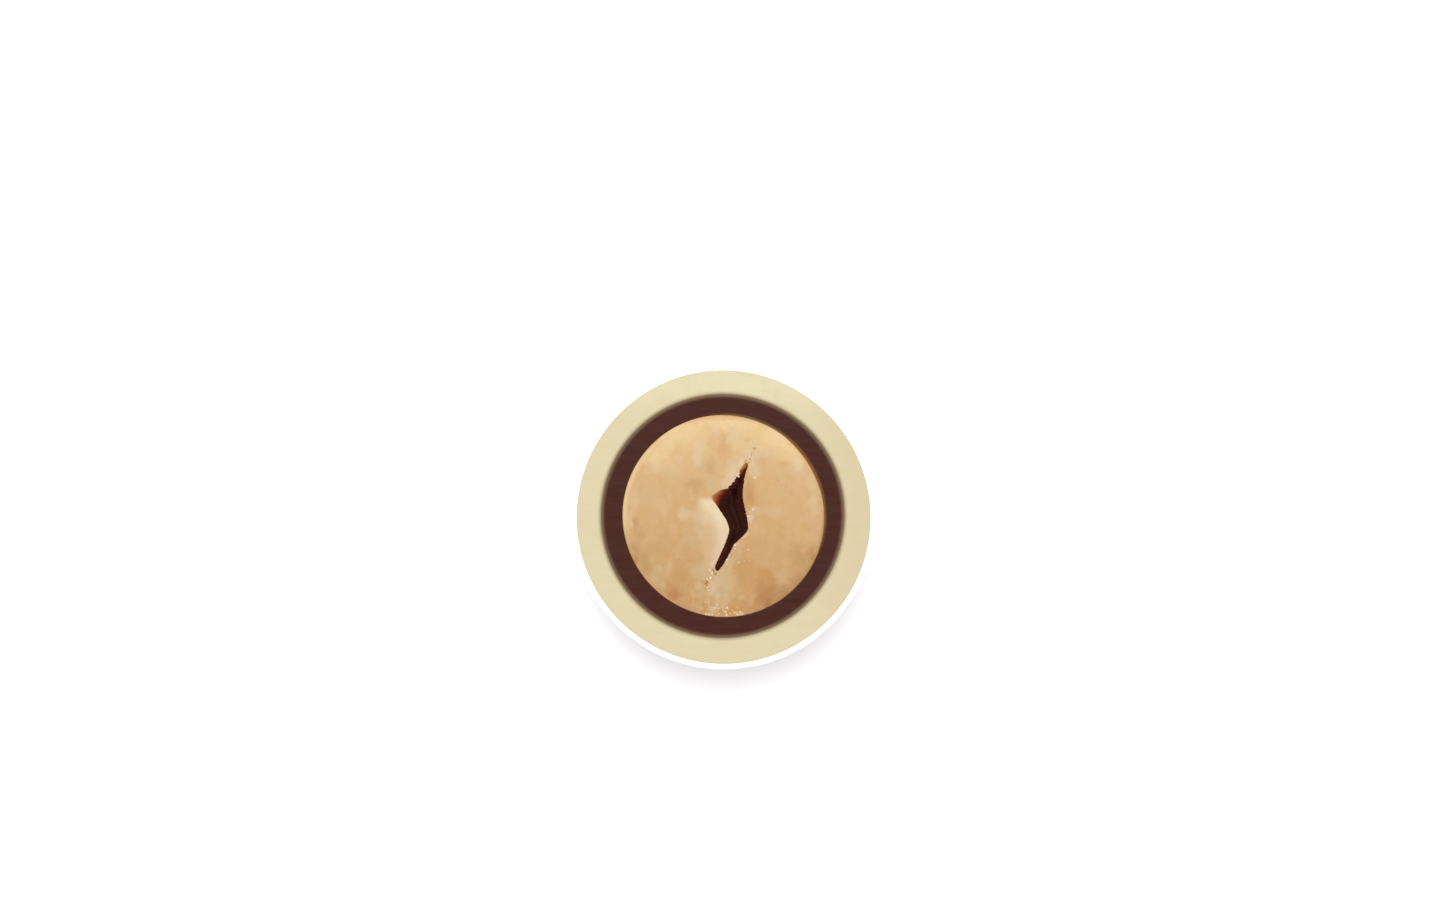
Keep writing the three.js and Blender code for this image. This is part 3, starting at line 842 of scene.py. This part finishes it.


# The band of roasted skin and painted shade along the kernel's upper-right edge
share, tint = skin_and_shade_band(place, from_edge, start=0.09, full=-0.04, further=0.04)
colour = tinted(share, colour, tint)

# The walls of the hollow, with a nook that is olive at its top and an upper end of a duller brown:
# x, y, half width, half height and turn of each, and the colour that theirs is multiplied by
WALLS_FROM_DEPTH = 0.05
WALL_TINTS = [
    ((-0.2, 1.78, 0.6, 0.24, 24), (0.68, 0.84, 0.62, 1)),
    ((1.22, 2.88, 0.35, 0.35, 0), (0.95, 1.15, 1.15, 1)),
]
# The walls' colour follows their painted shade: from the tan of the flesh at the mouth through the walls'
# browns to dark maroon deep inside
wall_colour = colour_steps(
    mark(tree, "wall_tone"),
    (0.0, 200, 146, 92), (0.1, 176, 116, 64), (0.36, 156, 93, 50),
    (0.52, 144, 72, 39), (0.7, 118, 44, 26), (0.88, 78, 29, 20),
    (1.0, 50, 24, 19),
)
for outline, tint in WALL_TINTS:
    wall_colour = tinted(patch_mask(place, *outline), wall_colour, tint, how="MULTIPLY")
# Painted light: the walls are paler where less real light reaches them
wall_colour = scaled(wall_colour, mark(tree, "wall_pale"))
in_hollow = fade(mark(tree, "hollow_depth"), 0.0, WALLS_FROM_DEPTH)
colour = tinted(in_hollow, colour, wall_colour)

GRAINS_PER_MM = 9.0
grain = add_node("TexNoise", {"Vector": place, "Scale": GRAINS_PER_MM, "Detail": 3.0}).outputs[0]
feed(shader, {"Base Color": colour, "Normal": raised(grain, depth=0.01, strength=0.6)})

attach(kernel, "root")
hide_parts("nut_kernel")

# The dark chocolate
# The first coat, built up on the nut by tumbling it in a pan. The knife left it nearly smooth, with
# faint drag marks, and its outer edge runs a little into the white chocolate.
DARK = {"radius": 7.97, "centre": (-0.06, 0.09), "swell": 0.06, "phase": 2.3, "oval": (0.045, 0.26)}
COAT_TURNS = np.linspace(0, 2 * math.pi, 480, endpoint=False)
RING_SPACING = 0.055
WALL_ANGLES = np.linspace(0.05, math.pi / 2, 14)
DRAG_STRETCH, DRAG_BUMPS, RIM_BUMPS = (0.15, 1, 0), (0.006, 0.5, 21), (0.008, 1.3, 22)


def coat_rings(outer, inner):
    """Rings of a coat: up its inner wall, over its cut rim and down its outer wall. They come with
    how far each point lies from the inner wall and from the outer one."""
    inner_wall = layer_rings(inner, WALL_ANGLES, COAT_TURNS)
    outer_wall = layer_rings(outer, WALL_ANGLES[::-1], COAT_TURNS)
    thickness = outer["radius"] - inner["radius"]
    share = np.linspace(0, 1, round(thickness / RING_SPACING) + 1)[1:-1, None, None]
    rim = inner_wall[-1] + (outer_wall[0] - inner_wall[-1]) * share
    rim[..., 2] += bumps(rim * DRAG_STRETCH, DRAG_BUMPS) + bumps(rim * [1, 1, 0], RIM_BUMPS)
    width = np.linalg.norm(outer_wall[0] - inner_wall[-1], axis=-1)
    rim_share = np.concatenate([np.zeros(len(inner_wall)), share.reshape(-1), np.ones(len(outer_wall))])
    from_inner = rim_share[:, None] * width
    return np.concatenate([inner_wall, rim, outer_wall]), from_inner, width - from_inner


dark_rings, from_kernel, to_white = coat_rings(DARK, KERNEL)
dark_coat = ring_mesh("dark_coat", dark_rings, from_kernel=from_kernel, to_white=to_white)

# Knife drag: faint lines along the knife's stroke, from -1 to 1
DRAWN_OUT = (0.06, 1, 1)
knife_drag, given = effect_group("knife drag", spacing=0.1, turn=0.2)
drawn_out = reckon_vector("MULTIPLY", turned(given["place"], given["turn"]), DRAWN_OUT)
give_back(knife_drag, "height", cloud(drawn_out, given["spacing"], 2.0))

# How high the drag marks are, as a share of the pores' depth
DRAG_SHARE = 0.12


def knife_and_pores(place, spacing, pore_size, pore_share):
    """The finish of a cut chocolate rim: a normal with drag marks, and the mask of a few air pores."""
    drag = effect(knife_drag, place, spacing=spacing)
    pores = effect(flecks, place, spacing=0.6, size=pore_size, share=pore_share, seed=1.0)
    height = minus(times(drag, DRAG_SHARE), pores)
    return raised(height, depth=0.03, strength=0.7), pores


SMEAR = seen(141, 117, 87)
SMEAR_REACH = 0.3


def smeared(colour, distance):
    """A chocolate's colour, smeared into the other one where they meet."""
    return tinted(fade(distance, SMEAR_REACH, -SMEAR_REACH, to_high=2.0), colour, SMEAR)


DARK_SHINE = 0.015

tree, shader = new_material(dark_coat, "dark_chocolate", roughness=0.42, specular=0.06)
place = millimetres(tree)
colour = seen(79, 50, 41, DARK_SHINE)
colour = clouded(colour, place, 1.8, 4, -1.0, 1.0, seen(80, 48, 43, DARK_SHINE))
normal, pores = knife_and_pores(place, spacing=0.12, pore_size=0.045, pore_share=0.1)
# The pores are painted darker: painted shade in them
colour = tinted(pores, colour, seen(56, 33, 28, DARK_SHINE), strength=0.3)
from_nut = mark(tree, "from_kernel")
# The band of roasted skin and painted shade runs onto the chocolate beside the kernel too
share, tint = skin_and_shade_band(place, from_nut, start=0.2, full=0.01, further=0.02)
colour = tinted(share, colour, tint)
stained = fade(from_nut, 0.07, 0.0, to_high=0.35)
colour = tinted(stained, colour, seen(128, 88, 56))
colour = smeared(colour, mark(tree, "to_white"))
feed(shader, {"Base Color": colour, "Normal": normal})

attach(dark_coat, "root")
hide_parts("dark_chocolate")

# The white chocolate
# The second and thickest coat, ivory, panned over the dark one. The knife smeared a little of the
# dark into its inner edge. It is painted paler at the top and darker at the right: painted light and
# shade.
WHITE = {"radius": 9.64, "centre": (0, 0), "swell": 0.04, "phase": 0.9, "oval": (0, 0)}

white_rings, from_dark, _ = coat_rings(WHITE, DARK)
white_coat = ring_mesh("white_coat", white_rings, from_dark=from_dark)

tree, shader = new_material(white_coat, "white_chocolate", roughness=0.5, specular=0.2)
place = millimetres(tree)
# Painted light at the top and painted shade at the right
colour = tinted(on_side(place, 0, 5.0, 9.0), seen(229, 214, 175), seen(224, 207, 167))
colour = tinted(on_side(place, 90, 6.2, 9.0), colour, seen(233, 223, 184))
for size, seed, tint in ((1.3, 17, seen(224, 213, 165)), (1.1, 19, seen(230, 208, 173))):
    colour = clouded(colour, place, size, seed, 0.0, 0.5, tint)
normal, pores = knife_and_pores(place, spacing=0.14, pore_size=0.05, pore_share=0.12)
# The pores are painted darker: painted shade in them
colour = tinted(pores, colour, seen(200, 182, 140), strength=0.25)
colour = smeared(colour, mark(tree, "from_dark"))
feed(shader, {"Base Color": colour, "Normal": normal})

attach(white_coat, "root")
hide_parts("white_chocolate")

# The sugar shell
# A hard, thin shell of polished sugar: pearly pink with grey-lilac clouds outside, pure white and
# finely granular where it is cut. Its edge is a little chipped, and its skin slightly dimpled.
SUGAR = {"radius": 10.0, "centre": (0, 0), "swell": 0.04, "phase": 0.6, "oval": (0, 0)}
REST_SPOT_ANGLE = math.asin(REST_SPOT_RADIUS / SUGAR["radius"])
SHELL_TURNS = np.linspace(0, 2 * math.pi, 540, endpoint=False)
SHELL_RINGS, RIM_RINGS = 150, 9
DIMPLES, DIMPLE_DEPTH = ((0.012, 1.1, 31), (0.007, 0.5, 32)), 0.008
EDGE_ROUNDING, CHIP_DEPTH = 0.07, 0.09
CHIP_BUMPS, EDGE_BUMPS, RIM_GRAIN = (1, 1.4, 33), (0.02, 0.5, 34), (0.01, 0.35, 35)
# From which bumps on the edge is chipped, how far down its rounding reaches, as a share of its size,
# and how far below that the skin starts
CHIPPED_FROM, ROUNDING_REACH, SKIN_FROM = (0.55, 1.1), 1.5, (0.02, 0.14)

skin_angles = np.linspace(math.pi / 2, REST_SPOT_ANGLE, SHELL_RINGS)
skin = layer_rings(SUGAR, skin_angles, SHELL_TURNS)
clear = clear_of_spot(np.hypot(skin[..., 0], skin[..., 1]), FULL_DIMPLES)
outward = skin / np.linalg.norm(skin, axis=-1)[..., None]
skin = skin + outward * ((bumps(skin, *DIMPLES) - DIMPLE_DEPTH) * clear)[..., None]

# The rim's outer edge is rounded, and in places chipped, by pulling in the skin's first rings
round_edge = around_axis(SUGAR["radius"], SHELL_TURNS, 0 * SHELL_TURNS)
chips = smooth_share(bumps(round_edge, CHIP_BUMPS), *CHIPPED_FROM)
edge_size = EDGE_ROUNDING + CHIP_DEPTH * chips + bumps(round_edge, EDGE_BUMPS)
below_rim = -skin[..., 2]
pulled_in = edge_size * np.clip(1 - below_rim / (edge_size * ROUNDING_REACH), 0, 1) ** 2
skin = skin - outward * [1, 1, 0] * pulled_in[..., None]

shell_inner_wall = layer_rings(WHITE, WALL_ANGLES, SHELL_TURNS)
rim_share = np.linspace(0, 1, RIM_RINGS + 1)[1:-1, None, None]
shell_rim = shell_inner_wall[-1] + (skin[0] - shell_inner_wall[-1]) * rim_share
shell_rim[..., 2] += bumps(shell_rim, RIM_GRAIN)
shell_rings = np.concatenate([shell_inner_wall, shell_rim, skin])
is_skin = np.zeros(shell_rings.shape[:2])
is_skin[-SHELL_RINGS:] = smooth_share(below_rim - edge_size, *SKIN_FROM)
sugar_shell = ring_mesh("sugar_coat", shell_rings, skin=is_skin)

PINK_SUGAR = seen(212, 184, 189)
GREY_SUGAR = seen(184, 176, 174)
PALE_SUGAR = seen(226, 213, 213)
ROSY_SUGAR = seen(190, 157, 166)
CUT_SUGAR = (0.93, 0.93, 0.92, 1)
SKIN_ROUGHNESS, CUT_ROUGHNESS = 0.34, 0.8
PEARL, PIT_DEPTH = 0.35, 1.5

tree, shader = new_material(sugar_shell, "pearly_sugar", SKIN_ROUGHNESS, specular=0.5)
feed(shader, {"Coat Weight": 0.25, "Coat Roughness": 0.22})
place = millimetres(tree)
outside = mark(tree, "skin")
# Grey clouds with ragged edges, then paler and rosier ones
ragged = cloud(place, 4.5, 2)
for size, seed, strength in ((1.4, 21, 0.4), (0.45, 22, 0.25)):
    ragged = plus(ragged, times(cloud(place, size, seed), strength))
colour = tinted(fade(ragged, -0.45, 0.65), PINK_SUGAR, GREY_SUGAR)
colour = clouded(colour, place, 1.6, 7, 0.2, 0.6, PALE_SUGAR)
colour = clouded(colour, place, 0.7, 8, 0.2, 0.5, ROSY_SUGAR)
# Ragged flecks, pale and rosy, in clusters: size, seed, shade where they start and are full, colour.
# The pale flecks are partly paler sugar and partly painted glints.
clustered = fade(cloud(place, 3.0, 13), -0.3, 0.6, to_low=0.2)
for size, seed, start, full, tint in (
    (0.32, 15, 0.3, 0.75, seen(238, 229, 228)),
    (0.25, 16, 0.4, 0.85, seen(172, 146, 154)),
):
    share = times(fade(cloud(place, size, seed), start, full), clustered)
    colour = tinted(share, colour, tint, strength=0.45)
# A few small pits, painted dark: painted shade in them
pits = effect(flecks, place, spacing=1.1, size=0.11, share=0.3, seed=6.0)
colour = tinted(pits, colour, seen(152, 132, 138), strength=0.8)
skin_height = times(pits, -PIT_DEPTH)
for size, seed, strength in ((0.3, 10, 0.35), (0.12, 11, 0.175)):
    skin_height = plus(skin_height, times(cloud(place, size, seed), strength))
skin_inputs = {
    "Base Color": tinted(outside, CUT_SUGAR, colour),
    "Metallic": times(outside, PEARL),
    "Roughness": fade(outside, 0.0, 1.0, CUT_ROUGHNESS, SKIN_ROUGHNESS),
    "Normal": raised(skin_height, depth=0.02, strength=0.8),
}
feed(shader, skin_inputs)

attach(sugar_shell, "root")
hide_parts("sugar_shell")

# The crumbs
# Bits of nut that the knife and the break left on the cut face, and some of skin in a row at the
# bottom. Each crumb: x, y, length in mm, and tone from 0, brown, to 1, white.
CRUMBS = [
    # On the torn teeth
    (0.14, 1.93, 0.07, 0.7), (0.25, 1.96, 0.1, 0.85), (0.31, 2.08, 0.09, 0.85),
    (0.44, 2.15, 0.12, 0.85), (0.5, 2.27, 0.11, 0.9), (0.63, 2.36, 0.1, 0.95),
    (0.65, 2.49, 0.13, 0.9), (0.37, 2.6, 0.08, 0.6), (0.73, 2.61, 0.1, 0.85),
    (0.84, 2.74, 0.13, 0.85), (0.93, 2.71, 0.12, 0.9), (1.0, 2.67, 0.12, 0.8),
    (0.94, 2.86, 0.13, 0.85), (1.0, 2.97, 0.11, 0.8), (0.86, 2.93, 0.08, 0.85),
    (0.72, 2.83, 0.09, 0.8),
    # Along the fissure above the hollow
    (1.62, 3.71, 0.13, 0.85), (1.69, 3.95, 0.2, 0.75), (1.56, 3.98, 0.07, 0.6),
    (1.77, 4.17, 0.08, 0.6), (1.2, 4.08, 0.09, 0.75), (1.93, 4.33, 0.07, 0.6),
    (1.68, 3.45, 0.1, 0.75),
    # Right of the hollow
    (2.03, 2.58, 0.17, 0.75), (1.97, 2.76, 0.08, 0.7), (1.93, 0.5, 0.22, 0.8),
    (2.1, 0.56, 0.12, 0.7), (1.64, 0.05, 0.2, 0.85), (1.72, -0.14, 0.16, 0.8),
    (1.66, -0.32, 0.1, 0.75),
    # Beside its tail
    (0.75, -1.84, 0.17, 0.85), (0.78, -2.06, 0.14, 0.8), (0.62, -2.03, 0.08, 0.8),
    (0.51, -2.28, 0.06, 0.75), (0.24, -2.79, 0.13, 0.95), (0.35, -2.63, 0.1, 0.85),
    (0.22, -3.0, 0.1, 0.55), (0.07, -3.1, 0.06, 0.75), (1.62, -2.15, 0.14, 0.65),
    (0.98, -2.95, 0.12, 0.75), (0.98, -2.6, 0.09, 0.7),
    # Along the fissure below it
    (-0.94, -3.45, 0.24, 0.75), (-0.84, -3.57, 0.1, 0.75), (-0.75, -3.66, 0.2, 0.72),
    (-0.76, -3.76, 0.14, 0.6), (-0.8, -3.9, 0.12, 0.75), (-0.42, -3.64, 0.07, 0.75),
    (-0.86, -3.99, 0.24, 0.8), (-1.08, -4.06, 0.2, 0.65), (-0.94, -4.2, 0.15, 0.6),
    (-1.33, -4.02, 0.08, 0.65), (-1.27, -4.5, 0.13, 0.65), (-1.08, -4.64, 0.13, 0.8),
    (-1.0, -4.8, 0.15, 0.8), (-0.84, -4.96, 0.1, 0.75), (-0.72, -4.88, 0.08, 0.7),
    (-1.6, -4.55, 0.1, 0.5),
    # Between that and the bottom
    (-2.0, -5.3, 0.1, 0.5), (-1.95, -5.46, 0.08, 0.5), (-1.2, -5.58, 0.13, 0.6),
    (-0.45, -5.76, 0.14, 0.6),
    # The bottom row
    (-1.5, -5.98, 0.13, 0.5), (-1.36, -5.85, 0.08, 0.4), (-0.55, -6.02, 0.12, 0.6),
    (-0.33, -6.0, 0.1, 0.65), (-0.14, -5.9, 0.09, 0.6), (-0.05, -6.12, 0.11, 0.65),
    (-0.3, -6.34, 0.12, 0.65), (-0.75, -6.4, 0.15, 0.75), (-0.95, -6.38, 0.2, 0.75),
    (-1.17, -6.32, 0.15, 0.75), (0.21, -5.93, 0.16, 0.8), (0.27, -6.01, 0.1, 0.7),
    (0.1, -6.22, 0.17, 0.75), (0.2, -6.42, 0.2, 0.8), (0.42, -6.3, 0.12, 0.65),
    (0.45, -6.17, 0.12, 0.25), (0.72, -6.25, 0.13, 0.7), (0.6, -5.98, 0.12, 0.25),
    (0.75, -6.08, 0.1, 0.3), (0.9, -6.38, 0.18, 0.75), (1.1, -6.22, 0.17, 0.7),
    (1.25, -6.32, 0.15, 0.75), (0.9, -5.95, 0.08, 0.5),
]
# Where fine specks lie besides: from and to, spread, and how many
SPECK_TRAILS = [
    ((1.0, 5.4), (1.9, 4.2), 0.3, 12),
    ((0.1, 1.9), (1.0, 3.0), 0.06, 14),
    ((0.8, -1.9), (0.0, -3.2), 0.06, 8),
    ((-0.6, -3.5), (-1.3, -4.8), 0.15, 16),
    ((-1.4, -6.0), (1.3, -6.1), 0.16, 34),
    ((0.7, -2.2), (2.7, -2.7), 0.3, 6),
    ((1.5, 0.7), (1.9, -0.5), 0.12, 8),
]
SPECK_SIZE, SPECK_TONE = (0.035, 0.075), (0.3, 1)
# A crumb's length, width and height as shares of its named length, from and to, then how deeply it
# is dented, how far its middle is up from the face, as a share of its height, and how near to the
# kernel's edge it lies at most, as a share of its length
SLIMMEST, STOUTEST = (1.05, 0.7, 0.35), (1.25, 0.95, 0.6)
DENTS, CRUMB_RISE, EDGE_SHARE = 0.14, 0.12, 0.3

random = np.random.default_rng(41)
crumbs_to_make = list(CRUMBS)
for start, end, spread, count in SPECK_TRAILS:
    for share in random.uniform(0, 1, count):
        on_trail = np.array(start) + (np.array(end) - start) * share
        speck = (on_trail + random.normal(0, spread, 2)).tolist()
        crumbs_to_make.append((*speck, random.uniform(*SPECK_SIZE), random.uniform(*SPECK_TONE)))

# A ball of 42 points, which each crumb squeezes and dents in its own way
lump = bmesh.new()
bmesh.ops.create_icosphere(lump, subdivisions=2, radius=0.5)
lump_points = np.array([vertex.co for vertex in lump.verts])
lump_faces = np.array([[vertex.index for vertex in face.verts] for face in lump.faces])
lump.free()

crumb_points, crumb_faces, crumb_tones = [], [], []
for x, y, length, tone in crumbs_to_make:
    spot = np.array([[x, y, 0.0]])
    if from_kernel_edge(spot)[0] < EDGE_SHARE * length:
        continue
    size = length * random.uniform(SLIMMEST, STOUTEST)
    turn = random.uniform(0, math.pi)
    cos, sin = math.cos(turn), math.sin(turn)
    dented = lump_points * (1 + random.normal(0, DENTS, (len(lump_points), 1)))
    spun = (dented * size) @ [[cos, sin, 0], [-sin, cos, 0], [0, 0, 1]]
    lying = spun + [x, y, kernel_relief(spot)[0] + CRUMB_RISE * size[2]]
    crumb_faces.append(lump_faces + len(lump_points) * len(crumb_points))
    crumb_points.append(lying)
    crumb_tones.append(np.full(len(lump_points), tone))
crumbs = mesh_piece(
    "kernel_crumbs",
    np.concatenate(crumb_points),
    np.concatenate(crumb_faces).tolist(),
    tone=np.concatenate(crumb_tones),
)

tree, shader = new_material(crumbs, "kernel_crumb", roughness=0.6, specular=0.25)
colour = colour_steps(
    mark(tree, "tone"),
    (0.0, 150, 104, 60), (0.25, 208, 152, 98), (0.5, 236, 211, 162),
    (0.7, 246, 207, 168), (0.85, 250, 221, 190), (1.0, 255, 242, 220),
)
mottle = times(cloud(millimetres(tree), 0.08, 3), 0.06)
feed(shader, {"Base Color": scaled(colour, plus(1.0, mottle))})

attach(crumbs, "root")

# The floor and the light
# A plain white floor, an even white surround, and one large soft lamp above the upper edge.
FLOOR_HALF = 3.0
FLOOR_WHITE = (0.96, 0.96, 0.96, 1)
SURROUND_STRENGTH = 1.0
LAMP_SIDE = 0.19
LAMP_DISTANCE = 0.42
LAMP_ELEVATION, LAMP_AZIMUTH = math.radians(76.5), math.radians(92)
LAMP_POWER = 1.04

floor_mesh = bpy.data.meshes.new("floor")
floor_corners = [(x * FLOOR_HALF, y * FLOOR_HALF, 0) for x, y in ((-1, -1), (1, -1), (1, 1), (-1, 1))]
floor_mesh.from_pydata(floor_corners, [], [(0, 1, 2, 3)])
floor = set_down("floor", floor_mesh)
_, shader = new_material(floor, "floor_paint", roughness=0.9, specular=0.1)
feed(shader, {"Base Color": FLOOR_WHITE})

surround = bpy.data.worlds.new("surround")
surround.use_nodes = True
feed(surround.node_tree.nodes["Background"], {"Color": (1, 1, 1, 1), "Strength": SURROUND_STRENGTH})
bpy.context.scene.world = surround

lamp_data = bpy.data.lights.new("lamp", "AREA")
lamp_data.size = LAMP_SIDE
lamp_data.energy = LAMP_POWER
lamp = set_down("lamp", lamp_data)
lamp.rotation_euler = (math.pi / 2 - LAMP_ELEVATION, 0, LAMP_AZIMUTH + math.pi / 2)
towards_lamp = around_axis(math.cos(LAMP_ELEVATION), LAMP_AZIMUTH, math.sin(LAMP_ELEVATION))
lamp.location = towards_lamp * LAMP_DISTANCE

bpy.context.scene.view_settings.view_transform = "Standard"
